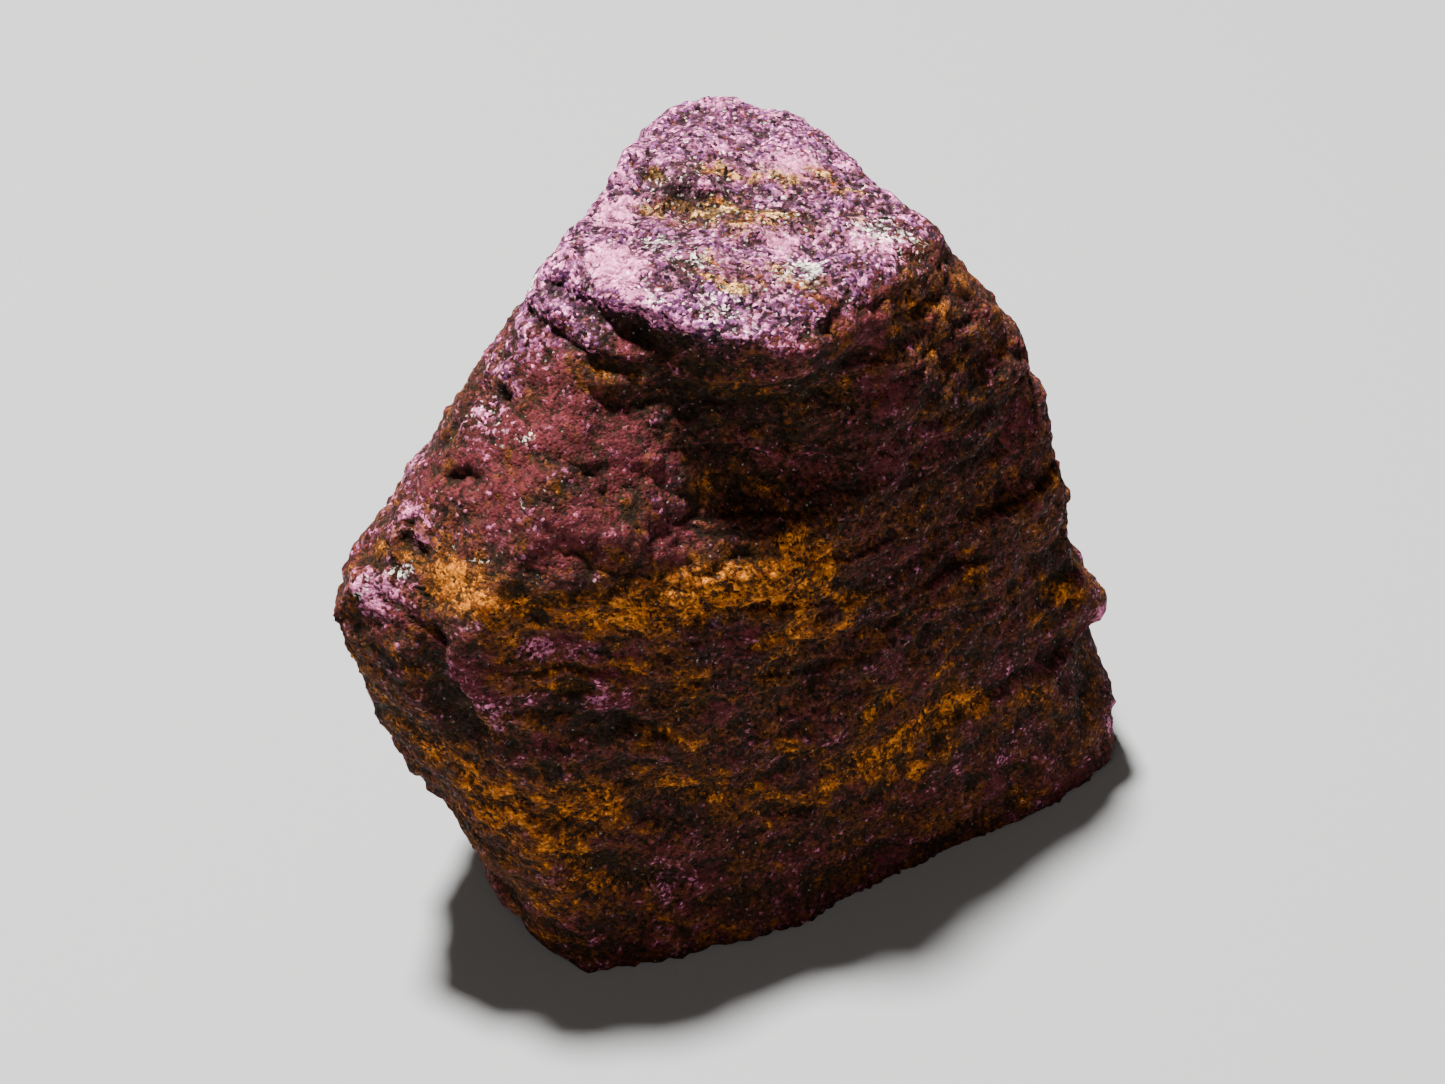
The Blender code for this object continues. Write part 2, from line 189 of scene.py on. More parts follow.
def block_planes():
    """The block's faces: every plane through three corners that has no corner outside it."""
    picks = zip(*itertools.combinations(range(len(CORNERS)), 3))
    a, b, c = (CORNERS[list(pick)] for pick in picks)
    normals = np.cross(b - a, c - a)
    wide = np.linalg.norm(normals, axis=1) > LEAST_GAP
    normals, a = unit(normals[wide]), a[wide]
    gaps = (normals * (a - HEART)).sum(axis=1)
    normals, gaps = normals * np.sign(gaps)[:, None], np.abs(gaps)
    outermost = (normals @ (CORNERS - HEART).T).max(axis=1) < gaps + LEAST_GAP
    planes = np.column_stack([normals, gaps])[outermost]
    return np.unique(planes.round(6), axis=0)


def chip_planes():
    """Flat chips at seeded angles, each a little below the block's furthest corner that way."""
    seeded = np.random.default_rng(CHIP_SEED)
    normals = unit(seeded.normal(size=(CHIP_COUNT, 3)))
    depth = seeded.uniform(*CHIP_DEPTH, size=CHIP_COUNT)
    return np.column_stack([normals, (normals @ (CORNERS - HEART).T).max(axis=1) - depth])


def soft_smaller(a, b, blend):
    """The smaller of two lengths, with the corner between them rounded over the blend length."""
    share = np.clip(0.5 + 0.5 * (b - a) / blend, 0, 1)
    return b + (a - b) * share - blend * share * (1 - share)


def hollow_reach(directions, middle, opening, long_way, halves):
    """Where a ray from HEART first meets the ellipsoid: the near root of its quadratic, or MISSED."""
    out = unit(opening)
    across = unit(np.cross(out, long_way))
    squeeze = np.array([out, np.cross(across, out), across]) / np.array(halves)[:, None]
    ray = directions @ squeeze.T
    start = squeeze @ (HEART - np.array(middle))
    a, b = (ray**2).sum(axis=-1), ray @ start
    inside = b**2 - a * (start @ start - 1)
    near = (-b - np.sqrt(np.maximum(inside, 0))) / a
    return np.where((inside > 0) & (near > 0), near, MISSED)


def break_reach(directions, planes):
    """How far a ray from HEART runs to be past all of a break's planes: the largest gap over slope."""
    furthest = np.zeros(len(directions))
    for point, facing in planes:
        facing = unit(facing)
        gap = facing @ (np.array(point) - HEART)
        slope = directions @ facing
        passed = np.where(slope > LEAST_SLOPE, gap / np.maximum(slope, LEAST_SLOPE), MISSED)
        furthest = -soft_smaller(-furthest, -passed, BREAK_ROUNDING)
    return furthest


def broken_block(directions):
    """HEART plus each direction times its reach: the nearest of all faces, chips, breaks and hollows."""
    planes = block_planes()
    slopes = np.maximum(directions @ (planes[:, :3] / planes[:, 3:]).T, 0)
    reach = 1 / (slopes**EDGE_SHARPNESS).sum(axis=1) ** (1 / EDGE_SHARPNESS)
    planes = chip_planes()
    nearest_chip = 1 / (directions @ (planes[:, :3] / planes[:, 3:]).T).max(axis=1)
    reach = soft_smaller(reach, nearest_chip, CHIP_BLEND)
    loose = unit(wandered(directions, WANDER_SPAN, WANDER_SHARE, 71))
    for name, planes in BREAKS.items():
        reach = soft_smaller(reach, break_reach(loose, planes), SOFT_RIM_BLENDS.get(name, RIM_BLEND))
    for hollow in HOLLOWS:
        reach = soft_smaller(reach, hollow_reach(loose, *hollow), HOLLOW_BLEND)
    points = HEART + directions * reach[:, None]
    moved = points.copy()
    for middle, push, span in SWELLINGS:
        near = np.exp(-((points - np.array(middle)) ** 2).sum(axis=-1) / span**2)
        moved += near[:, None] * np.array(push)
    return moved


# The stone: its broken surface

# Purpurite breaks into hackly facets and thin cleavage plates, in beds a few millimetres thick, and
# its surface is finely granular, like coarse sugar. Each of these is a height raised along the
# surface's own normal, from swells of 9 mm down to plates of half a millimetre.

BED_DIP, BED_SAG, BED_LEAN = 0.195, -0.0102, 0.10  # the shares of X, X squared and Y in their height
BED_WAVES = ((9.0, 1.2), (2.1, 0.30))  # how far apart and how high the beds wave
SWELL_SPAN, SWELL_HEIGHT = 9.0, 0.38
# Facets: their span along X, Y and Z, and their height.
FACET_SETS = (((5.2, 5.2, 5.2), 0.50), ((2.6, 2.6, 2.6), 0.27), ((4.2, 1.9, 1.6), 0.30))
FINE_FACET_SETS = (((1.5, 1.3, 1.2), 0.19), ((0.8, 0.75, 0.7), 0.13))
FACET_TILT, FACET_FALL = 0.42, 0.9
FACET_RISE, FACET_MIDDLE = 0.6, 0.2  # how much their caps differ in height, and their mean height
# Beds: thickness, height of the ledges, how far along a bed its height changes, and the bevel.
THICK_BEDS = (2.3, 0.45, 6.5, 0.16)
THIN_BEDS = (0.80, 0.065, 1.8, 0.12)
BED_APART = 3.7  # how far apart in the noise two neighbouring beds are
# Plates: thin flakes left standing where their neighbours broke off, with their span and step.
PLATE_SPAN, PLATE_STEPS, PLATE_HEIGHT = np.array([3.4, 2.2, 1.7]), 3.0, 0.065
PLATE_FLAT, PLATE_SLOPE = 0.8, 0.2  # the level and the sloping part of each step
FINER = 2.3  # how much closer the second noise in the plates is
CRUMBS = ((1.1, 0.17), (0.6, 0.13))  # their span and height
# Grooves between slabs: each end, the width and the depth.
GROOVES = (
    ((18.2, 1.0, 9.8), (14.3, -3.5, 10.2), 0.7, 0.7),
    ((14.3, -3.5, 10.2), (9.5, -6.6, 9.9), 0.6, 0.45),
    ((-15.3, -15.6, 23.4), (-13.8, -15.4, 19.6), 0.55, 0.7),
    ((-13.8, -15.4, 19.6), (-12.9, -15.2, 16.6), 0.5, 0.6),
    ((-13.3, -8.3, 32.3), (-11.6, -9.4, 32.6), 0.45, 0.5),
    ((-15.2, -10.6, 29.3), (-13.4, -11.6, 29.6), 0.45, 0.45),
    ((-16.4, -12.6, 26.4), (-12.6, -14.0, 25.4), 0.4, 0.35),
    ((-10.0, -5.8, 37.0), (-7.2, -8.0, 36.8), 0.45, 0.6),
    ((-10.7, -6.9, 35.5), (-8.1, -9.1, 35.3), 0.5, 0.5),
    ((-8.1, -9.1, 35.3), (-6.4, -9.9, 34.2), 0.5, 0.3),
    ((-11.4, -15.1, 24.7), (-8.4, -14.5, 23.4), 0.35, 0.45),
    ((-8.4, -14.5, 23.4), (-6.4, -14.0, 21.4), 0.35, 0.45),
    ((-7.6, -14.5, 17.8), (-4.6, -13.8, 16.0), 0.45, 0.40),
)
GROOVE_WANDER, GROOVE_WANDER_SPAN = 0.35, 1.3
TINY = 1e-9  # a line may have no length

GRID = 128  # cells along each side of the cube that is blown out to the stone
CROWDING = np.array([0.02, -0.17, 0.12])  # the way in which the grid's points are drawn closer together


def facets(points, salt):
    """Hackly facets: the upper envelope of tilted caps, one in each unit cell, from about -0.5 to 0.5."""
    whole = np.floor(points).astype(np.int64)
    best = np.full(len(points), -np.inf)
    for step in itertools.product((-1, 0, 1), repeat=3):
        cell = whole + np.array(step)
        seat = np.stack([hashed(cell, salt + axis) for axis in range(3)], axis=-1)
        tilt = np.stack([hashed(cell, salt + 5 + axis) for axis in range(3)], axis=-1) - 0.5
        away = points - cell - seat
        height = hashed(cell, salt + 11) * FACET_RISE - FACET_FALL * (away**2).sum(axis=-1)
        best = np.maximum(best, height + 2 * FACET_TILT * (tilt * away).sum(axis=-1))
    return best - FACET_MIDDLE


def bed_level(points):
    """Height within the beds: they dip to the right on the left side, and level out to the right."""
    x, y, z = points.T
    wave = sum(height * swirl(points / span, 21) for span, height in BED_WAVES)
    return z + BED_DIP * x + BED_SAG * x**2 + BED_LEAN * y + wave


def eased(share):
    """A share from 0 to 1 with a smooth start and end: three times its square less twice its cube."""
    share = np.clip(share, 0, 1)
    return share * share * (3 - 2 * share)


def beds(points, salt, thickness, height, span, bevel):
    """Each bed stands out by its own slowly changing amount, with a short smooth bevel between beds."""
    bed = bed_level(points) / thickness
    index = np.floor(bed)
    rise = eased((bed - index) * thickness / bevel)
    place = points[:, :2] / span
    below, above = (swirl(np.column_stack([place, (index + k) * BED_APART]), salt) for k in (-1, 0))
    return height * (below * (1 - rise) + above * rise)


def line_share(points, start, end, width):
    """A bell over the distance to a line from start to end: 1 on it, near 0 beyond twice the width."""
    start, run = np.array(start), np.array(end) - np.array(start)
    along = np.clip((points - start) @ run / (run @ run + TINY), 0, 1)
    return np.exp(-(((points - start - along[:, None] * run) ** 2).sum(axis=1)) / width**2)


def grooves(points):
    """The deepest groove at each point, below zero."""
    loose = wandered(points, GROOVE_WANDER_SPAN, GROOVE_WANDER, 81)
    depths = [depth * line_share(loose, start, end, width) for start, end, width, depth in GROOVES]
    return -np.max(depths, axis=0)


def plates(points):
    """Noise cut into level steps with steep sides: the fractional part is kept flat, then rises."""
    noise = swirl(points / PLATE_SPAN, 91) + 0.5 * swirl(points / PLATE_SPAN * FINER, 92)
    noise = PLATE_STEPS * noise
    step = np.floor(noise)
    return PLATE_HEIGHT * (step + eased((noise - step - PLATE_FLAT) / PLATE_SLOPE))


def crumbs(points):
    """Small round lumps of two sizes with sharp creases between them."""
    return sum(height * np.abs(swirl(points / span, 95)) for span, height in CRUMBS)


def coarse_relief(points):
    """The swells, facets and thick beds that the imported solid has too."""
    height = SWELL_HEIGHT * swirl(points / SWELL_SPAN, 41)
    height = height + beds(points, 31, *THICK_BEDS) + grooves(points)
    for number, (spans, tall) in enumerate(FACET_SETS):
        height += tall * facets(points / np.array(spans), 51 + 20 * number)
    return height


def fine_relief(points):
    """The thin beds, plates and small facets that only the visible stone has."""
    height = beds(points, 33, *THIN_BEDS) + plates(points) + crumbs(points)
    for number, (spans, tall) in enumerate(FINE_FACET_SETS):
        height += tall * facets(points / np.array(spans), 131 + 20 * number)
    return height


def ball_grid(cells):
    """Points of a cube's faces on a grid of whole numbers, shared along its edges, and their quads."""
    side = np.arange(cells + 1)
    u, v = np.meshgrid(side, side, indexing="ij")
    number = np.arange((cells + 1) ** 2).reshape(cells + 1, cells + 1)
    lattice, quads = [], []
    for axis, end in itertools.product(range(3), (0, cells)):
        face = np.empty((cells + 1, cells + 1, 3), int)
        face[..., axis] = end
        face[..., (axis + 1) % 3], face[..., (axis + 2) % 3] = u, v
        ring = [number[:-1, :-1], number[1:, :-1], number[1:, 1:], number[:-1, 1:]]
        if end == 0:
            ring.reverse()
        quads.append(np.stack(ring, axis=-1).reshape(-1, 4) + len(lattice) * number.size)
        lattice.append(face.reshape(-1, 3))
    shared, where = np.unique(np.concatenate(lattice), axis=0, return_inverse=True)
    return shared * 2.0 / cells - 1, where.reshape(-1)[np.concatenate(quads)]


def new_mesh(name, points, quads):
    """A mesh of these points and four-cornered faces."""
    mesh = bpy.data.meshes.new(name)
    mesh.vertices.add(len(points))
    mesh.vertices.foreach_set("co", points.astype(np.float32).ravel())
    mesh.loops.add(quads.size)
    mesh.loops.foreach_set("vertex_index", quads.astype(np.int32).ravel())
    mesh.polygons.add(len(quads))
    mesh.polygons.foreach_set("loop_start", np.arange(0, quads.size, quads.shape[1], dtype=np.int32))
    mesh.update(calc_edges=True)
    return mesh


def normals_at(mesh, points):
    """The mesh's normal at each point, once its points are moved there."""
    mesh.vertices.foreach_set("co", points.astype(np.float32).ravel())
    mesh.update()
    normals = np.empty(points.size, np.float32)
    mesh.vertex_normals.foreach_get("vector", normals)
    return normals.reshape(-1, 3)


def raised(mesh, points, height):
    """Each point moved along the mesh's own normal there by its height."""
    return points + normals_at(mesh, points) * height[:, None]


def standing_on_foot(points):
    """Points under the resting plane drawn back towards HEART until they lie on it."""
    share = HEART[2] / np.maximum(HEART[2] - points[:, 2], HEART[2])
    return HEART + (points - HEART) * share[:, None]


cube, quads = ball_grid(GRID)
directions = unit(unit(np.tan(cube * np.pi / 4)) + CROWDING)
block = broken_block(directions)
stone_mesh = new_mesh("purpurite_stone", block, quads)
rough = raised(stone_mesh, block, coarse_relief(block))
surface = standing_on_foot(raised(stone_mesh, rough, fine_relief(block)))

# The stone: where its colours lie

# Rust and ochre fill the seams between the beds and spread from them, black-brown oxide fills the
# pits, with painted shade in the hollows and the bay, and worn edges are paler. Each is a share,
# mostly 0 to 1, kept in the mesh as an attribute.

# Strokes of rust on the front and top: each end of a stroke, how wide it spreads, and its share.
# The higher the share, the more of the rust is orange and ochre.
RUST_STROKES = (
    ((-16.6, -12.8, 26.2), (-13.0, -14.7, 25.6), 0.8, 0.95),
    ((-13.0, -14.7, 25.8), (-11.0, -15.0, 25.5), 0.9, 1.0),
    ((-11.0, -15.0, 25.2), (-8.6, -14.6, 24.2), 0.9, 1.1),
    ((-8.4, -14.4, 23.6), (-6.5, -14.0, 21.6), 0.9, 0.9),
    ((-7.2, -13.9, 25.6), (-5.3, -13.3, 24.4), 0.8, 0.75),
    ((-5.6, -13.5, 23.6), (-2.4, -12.6, 22.6), 0.8, 1.0),
    ((-13.1, -15.5, 23.8), (-11.4, -15.2, 23.0), 0.6, 0.95),
    ((-12.0, -15.4, 22.4), (-11.4, -15.3, 20.6), 0.5, 0.95),
    ((-10.9, -15.3, 20.6), (-8.0, -14.3, 18.9), 0.8, 0.9),
    ((-6.2, -13.9, 20.3), (-3.0, -13.4, 18.8), 1.1, 0.85),
    ((-17.6, -13.2, 17.6), (-15.7, -14.0, 14.9), 1.2, 0.75),
    ((-15.7, -14.0, 14.6), (-13.0, -14.9, 11.6), 1.4, 0.85),
    ((-18.8, -12.6, 21.0), (-16.8, -13.2, 15.0), 1.6, 0.62),
    ((-13.6, -14.6, 12.6), (-10.6, -15.6, 11.4), 1.3, 0.85),
    ((-11.0, -15.5, 11.6), (-8.2, -15.3, 9.2), 1.0, 0.7),
    ((-9.6, -15.6, 14.4), (-6.5, -14.6, 11.6), 1.4, 0.7),
    ((-3.6, -13.4, 12.4), (-1.0, -12.6, 10.8), 1.2, 0.6),
    ((1.7, -10.8, 25.5), (4.4, -9.4, 22.6), 1.1, 0.85),
    ((3.0, -10.0, 22.6), (5.0, -8.9, 19.6), 1.0, 0.9),
    ((0.2, -11.8, 19.9), (4.6, -9.1, 18.6), 0.7, 1.05),
    ((-1.2, -12.2, 21.0), (2.6, -10.9, 21.4), 0.9, 0.6),
    ((9.6, -6.0, 17.2), (12.0, -4.2, 18.2), 0.6, 0.9),
    ((15.2, -1.4, 14.2), (16.8, -0.2, 12.6), 0.9, 0.95),
    ((14.4, -2.6, 12.8), (15.4, -1.8, 12.2), 0.7, 0.8),
    ((8.8, -7.3, 13.4), (10.8, -5.8, 13.2), 0.5, 0.8),
    ((7.0, -8.2, 13.0), (5.4, -9.3, 11.6), 0.7, 0.9),
    ((6.0, -9.0, 9.4), (8.6, -7.4, 10.4), 1.0, 1.0),
    ((8.6, -7.4, 10.6), (11.8, -5.0, 9.8), 0.9, 0.95),
    ((8.4, -7.6, 7.4), (10.2, -6.6, 8.0), 0.8, 0.9),
    ((5.6, -9.4, 8.8), (8.2, -7.8, 7.3), 0.9, 0.9),
    ((2.4, -11.5, 8.8), (4.6, -10.2, 8.9), 0.8, 0.85),
    ((-0.8, -12.6, 10.9), (2.0, -11.5, 9.2), 0.9, 0.75),
    ((1.1, -12.0, 13.0), (3.5, -10.9, 11.5), 0.8, 0.7),
    ((13.6, -4.4, 2.9), (14.9, -3.8, 1.3), 0.8, 0.7),
    ((12.7, -5.1, 2.0), (12.2, -5.4, 1.2), 0.8, 0.65),
    ((13.6, -3.8, 9.0), (15.2, -2.6, 8.6), 1.1, 0.65),
    ((9.8, -1.5, 33.0), (7.0, -4.8, 33.6), 1.3, 0.66),
    ((-3.3, -1.0, 37.5), (-1.0, -0.2, 37.2), 0.8, 1.2),
    ((-0.9, -0.6, 37.0), (1.2, -0.9, 36.8), 0.8, 1.3),
    ((-4.7, 0.9, 38.0), (-2.6, 0.6, 37.7), 0.5, 1.1),
    ((-1.6, 1.8, 37.8), (-0.4, 1.5, 37.5), 0.6, 1.1),
    ((3.2, 2.5, 37.2), (5.1, 1.8, 36.7), 0.7, 1.05),
    ((-2.8, -6.0, 37.3), (-0.7, -7.0, 36.8), 0.5, 1.1),
    ((-14.5, -14.6, 25.6), (-6.0, -14.4, 23.6), 1.9, 1.04),
    ((-5.6, -13.9, 24.0), (3.0, -10.4, 22.6), 2.2, 1.06),
    ((-12.0, -15.4, 21.4), (-4.0, -14.0, 20.0), 2.0, 0.62),
    ((-15.4, -14.2, 14.0), (-7.0, -15.2, 11.4), 2.6, 0.74),
    ((-12.9, -15.0, 10.7), (-9.0, -15.7, 9.4), 1.6, 0.78),
    ((-2.4, -13.0, 11.6), (1.0, -12.0, 9.6), 1.7, 0.70),
    ((2.2, -10.6, 24.6), (2.4, -10.9, 19.2), 2.0, 0.84),
    ((4.0, -10.4, 9.4), (11.0, -5.8, 10.2), 2.0, 0.68),
    ((-4.6, -1.2, 37.6), (2.4, -1.6, 37.1), 1.6, 0.74),
    ((-3.0, 1.4, 37.8), (4.4, 2.2, 37.3), 1.3, 0.70),
    ((-3.4, -5.4, 37.3), (3.6, -5.8, 36.6), 1.6, 0.58),
    ((3.4, -1.4, 36.8), (5.6, 0.4, 36.2), 1.4, 0.42),
)
# Dull mauve patches with little rust on them: middle, span and share.
MAUVE_PATCHES = (
    ((-6.2, -10.9, 31.0), 2.2, 1.0),
    ((-4.6, -10.6, 29.8), 1.6, 0.9),
    ((-7.4, -13.6, 28.6), 2.0, 0.9),
    ((-9.2, -14.4, 28.0), 1.7, 1.0),
    ((-4.0, -12.2, 26.6), 1.9, 1.0),
    ((-11.6, -10.8, 31.2), 1.8, 0.9),
    ((-9.2, -11.0, 32.3), 2.0, 0.9),
    ((-9.6, -9.0, 34.0), 1.5, 0.8),
    ((-13.2, -11.2, 29.8), 1.6, 0.9),
    ((-10.8, -12.6, 30.3), 1.6, 0.9),
    ((-11.7, -13.7, 28.8), 1.4, 0.8),
    ((-6.0, -8.9, 35.0), 1.4, 0.6),
    ((-15.4, -10.2, 28.4), 1.7, 0.9),
    ((-11.6, -13.2, 29.3), 1.4, 0.9),
    ((-17.3, -13.7, 23.4), 1.5, 0.9),
    ((-14.4, -14.5, 22.2), 0.9, 1.0),
    ((-12.9, -15.5, 20.8), 1.7, 1.1),
    ((-8.1, -14.8, 22.0), 1.6, 1.1),
    ((-5.8, -14.2, 20.4), 1.5, 1.0),
    ((-9.5, -14.9, 22.4), 1.4, 1.0),
    ((-7.2, -14.6, 19.8), 0.8, 0.9),
    ((-6.6, -14.5, 18.3), 1.1, 1.1),
    ((-0.6, -12.3, 20.3), 1.3, 0.9),
    ((-10.1, -15.6, 16.8), 1.2, 0.7),
    ((-1.6, -13.1, 16.2), 1.4, 0.7),
    ((-3.0, -13.5, 5.0), 2.6, 0.7),
    ((6.2, -6.0, 30.4), 1.9, 0.8),
    ((5.2, -6.0, 34.0), 1.7, 0.8),
    ((1.6, -8.8, 35.2), 1.5, 0.7),
    ((8.8, -4.6, 26.6), 1.8, 0.7),
    ((6.5, -6.3, 26.4), 1.8, 0.9),
    ((2.6, -7.8, 26.7), 1.0, 0.8),
    ((13.3, -0.8, 24.6), 1.5, 0.8),
    ((9.5, -6.1, 17.6), 1.8, 0.7),
    ((7.6, -6.5, 20.8), 1.6, 0.6),
    ((14.9, -2.0, 9.9), 1.4, 1.0),
    ((12.7, -4.5, 11.1), 1.1, 0.8),
    ((17.5, 0.1, 10.6), 1.2, 1.0),
    ((6.9, -8.2, 15.2), 1.4, 0.8),
    ((13.0, -5.0, 4.3), 1.8, 0.9),
    ((17.1, -2.2, 0.9), 1.8, 0.8),
    ((2.0, -11.6, 4.4), 2.2, 0.6),
    ((7.4, -8.4, 1.2), 2.0, 0.7),
)
# Pink-lilac patches, where the stone is fresh: middle, span and share.
LILAC_PATCHES = (
    ((-6.4, -1.4, 37.8), 1.6, 1.3),
    ((-6.4, -5.7, 37.5), 1.9, 1.3),
    ((1.7, 2.8, 37.1), 1.7, 1.2),
    ((1.3, -3.0, 36.9), 1.2, 1.3),
    ((-5.2, -7.6, 37.3), 1.4, 0.9),
    ((5.4, -2.0, 35.9), 2.0, 0.85),
    ((-17.8, -13.3, 24.2), 1.7, 0.75),
    ((-13.9, -14.3, 20.2), 1.6, 0.66),
    ((-12.2, -15.2, 18.6), 1.7, 0.54),
    ((-10.0, -14.9, 22.0), 1.5, 0.60),
    ((-7.0, -14.4, 18.8), 1.4, 0.48),
    ((-9.6, -15.0, 20.8), 3.0, 0.38),
    ((-3.9, -13.6, 5.2), 2.0, 0.42),
    ((-10.3, -15.7, 7.5), 0.7, 0.5),
    ((13.5, -4.9, 6.0), 1.9, 0.28),
    ((15.5, -3.4, 0.8), 1.6, 0.28),
    ((-16.0, -12.0, 27.4), 1.4, 0.7),
    ((-12.8, -8.2, 33.4), 1.2, 0.7),
    ((-12.4, -9.8, 31.9), 1.1, 0.6),
    ((18.0, 1.2, 10.6), 1.3, 0.8),
    ((20.0, 0.6, 3.0), 1.3, 0.7),
)
# Blue-violet patches: middle, span and share.
VIOLET_PATCHES = (
    ((-1.0, 5.3, 37.8), 2.6, 0.9),
    ((3.7, -3.3, 36.2), 1.2, 1.15),
    ((-1.3, -7.8, 36.6), 1.5, 0.9),
    ((-5.1, -0.2, 37.9), 1.1, 0.8),
    ((-7.3, -14.1, 21.8), 1.2, 0.5),
    ((-13.4, -14.6, 21.4), 1.4, 0.6),
    ((-3.4, -11.5, 27.8), 2.0, 0.4),
    ((-14.6, -13.0, 27.0), 1.2, 0.6),
)
# Black-brown oxide and painted shade: middle, span and share. The patches in the bay under the brow, on
# the step beside it and on the wall left of the slab are painted shade; the rest are oxide.
OXIDE_AND_SHADE_PATCHES = (
    ((-3.6, 0.3, 37.9), 1.2, 1.0),
    ((-3.1, -6.0, 37.4), 0.9, 0.7),
    # Painted shade on the wall left of the slab, with the patch at (-14.6, -14.4, 18.8).
    ((-15.2, -14.1, 19.2), 1.2, 0.9),
    ((-16.4, -13.9, 20.6), 1.6, 0.5),
    ((-18.6, -12.8, 20.4), 2.6, 0.25),
    ((-16.8, -13.2, 15.4), 2.6, 0.28),
    ((-1.4, -0.6, 37.4), 1.7, 0.48),
    ((2.0, -0.6, 37.0), 1.4, 0.42),
    ((-14.0, -14.6, 16.6), 1.0, 0.7),
    ((-13.5, -14.5, 14.9), 0.5, 0.9),
    ((-6.9, -14.5, 17.0), 0.9, 0.8),
    ((-9.5, -15.8, 15.2), 1.3, 0.6),
    # Painted shade in the bay under the brow: these three and the broad patch at (3.0, -9.4, 30.0).
    ((-2.6, -9.4, 32.4), 3.4, 0.50),
    ((-1.0, -10.6, 28.0), 2.6, 0.5),
    ((3.4, -9.0, 31.0), 3.6, 0.36),
    ((-7.4, -13.0, 31.0), 3.4, 0.18),
    ((-12.0, -11.4, 31.0), 2.6, 0.14),
    ((10.4, -4.0, 26.0), 5.0, 0.08),
    ((3.0, -9.4, 30.0), 5.0, 0.30),
    ((9.6, -6.0, 20.0), 5.0, 0.08),
    ((0.0, -12.2, 15.5), 4.6, 0.16),
    ((-8.0, -15.0, 8.0), 5.0, 0.10),
    ((-18.6, -12.0, 16.0), 4.4, 0.32),
    ((-15.0, -13.4, 9.0), 3.4, 0.20),
    # Painted shade on the step beside the bay.
    ((-7.0, -9.0, 35.4), 1.6, 0.45),
    ((-16.1, -14.9, 20.9), 0.8, 0.8),
    ((-14.6, -14.4, 18.8), 0.9, 1.0),
    ((-13.8, -14.4, 18.0), 0.6, 1.0),
    ((-8.4, -15.0, 18.5), 0.9, 0.8),
    ((-6.8, -14.6, 16.9), 1.0, 0.8),
    ((-5.8, -12.6, 28.6), 0.7, 0.6),
    ((-7.1, -14.4, 21.6), 0.7, 0.6),
    ((-9.9, -15.2, 24.3), 0.5, 0.9),
    ((-9.8, -6.4, 36.9), 0.5, 1.0),
    ((-8.6, -15.0, 2.4), 2.4, 0.4),
    ((-12.2, -14.9, 25.4), 1.0, 0.25),
    ((7.6, -7.2, 17.0), 1.6, 0.35),
)
# Thin cream seams, given like the rust's strokes.
CREAM_STROKES = (
    ((-16.6, -12.2, 26.7), (-14.1, -13.3, 26.8), 0.20, 0.55),
    ((-14.1, -13.3, 26.8), (-12.0, -14.4, 27.1), 0.22, 0.50),
    ((-17.6, -13.5, 24.6), (-19.0, -12.9, 23.6), 0.25, 0.70),
    ((-9.9, -15.1, 26.6), (-7.4, -14.7, 25.7), 0.50, 0.26),
    ((-3.2, -13.5, 20.2), (-1.2, -12.9, 19.2), 0.55, 0.24),
)
# Cream crumbs of other minerals: middle, span and share.
CREAM_PATCHES = (
    ((-10.3, -5.4, 36.0), 0.7, 1.0),
    ((-12.9, -9.2, 31.9), 1.1, 0.38),
    ((-11.7, -10.6, 31.8), 0.8, 0.38),
    ((-10.7, -11.4, 31.7), 0.5, 0.70),
    ((-16.5, -13.1, 25.3), 0.5, 0.75),
    ((-18.0, -13.0, 24.7), 0.5, 0.65),
    ((-10.7, -13.7, 29.8), 0.35, 0.8),
    ((-10.7, -9.7, 33.8), 0.7, 0.6),
    ((2.4, -4.5, 36.4), 1.2, 0.92),
    ((-2.5, -5.0, 37.4), 0.9, 0.78),
    ((-4.6, -3.9, 37.3), 0.8, 0.80),
    ((5.9, -1.0, 36.0), 1.8, 0.62),
    ((7.2, -0.8, 35.7), 1.2, 0.60),
    ((-4.7, -8.2, 37.2), 0.9, 0.60),
    ((0.4, -1.0, 37.1), 0.6, 0.5),
    ((-3.6, -4.4, 37.5), 1.6, 0.50),
    ((2.0, -5.2, 36.6), 1.8, 0.52),
    ((-1.6, -8.0, 36.8), 2.0, 0.50),
    ((-4.6, -7.6, 37.3), 1.0, 0.50),
    ((-0.4, 3.4, 37.6), 1.2, 0.36),
)

# Each stroke and patch is looked up at a place that strays a little, so that its rim is ragged.
STRAY_SPAN, STRAY = 1.4, 0.45
# The pink top: the height where it is full, how much that wavers, how far down it fades at the front,
# and how much further at the back and past the left tip.
TOP_LEVEL, TOP_WAVER, TOP_WAVER_SPAN = 36.2, 0.8, 2.2
TOP_FADE, TOP_FADE_FURTHER = 1.6, 3.8
# How many rounds the surface is smoothed, and the height over it that counts as fully proud.
PROUD_SMALL, PROUD_LARGE = (3, 0.10), (14, 0.4)


def stroke_share(points, strokes):
    """The largest share of any stroke at each point."""
    shares = [share * line_share(points, start, end, width) for start, end, width, share in strokes]
    return np.max(shares, axis=0)


def patch_share(points, patches):
    """The largest share of any patch: a patch is a stroke without length."""
    return stroke_share(points, [(middle, middle, span, share) for middle, span, share in patches])


def ramp(values, start, end):
    """A straight rise from 0 at start to 1 at end, and level beyond both."""
    return np.clip((values - start) / (end - start), 0, 1)


def neighbour_mean(values, quads, rounds):
    """Each point's value averaged with those of its quads' corners, over and over."""
    for _ in range(rounds):
        mean = values[quads].mean(axis=1)
        total = np.zeros_like(values)
        for corner in quads.T:
            np.add.at(total, corner, mean)
        values = total / np.bincount(quads.ravel(), minlength=len(values))[:, None]
    return values


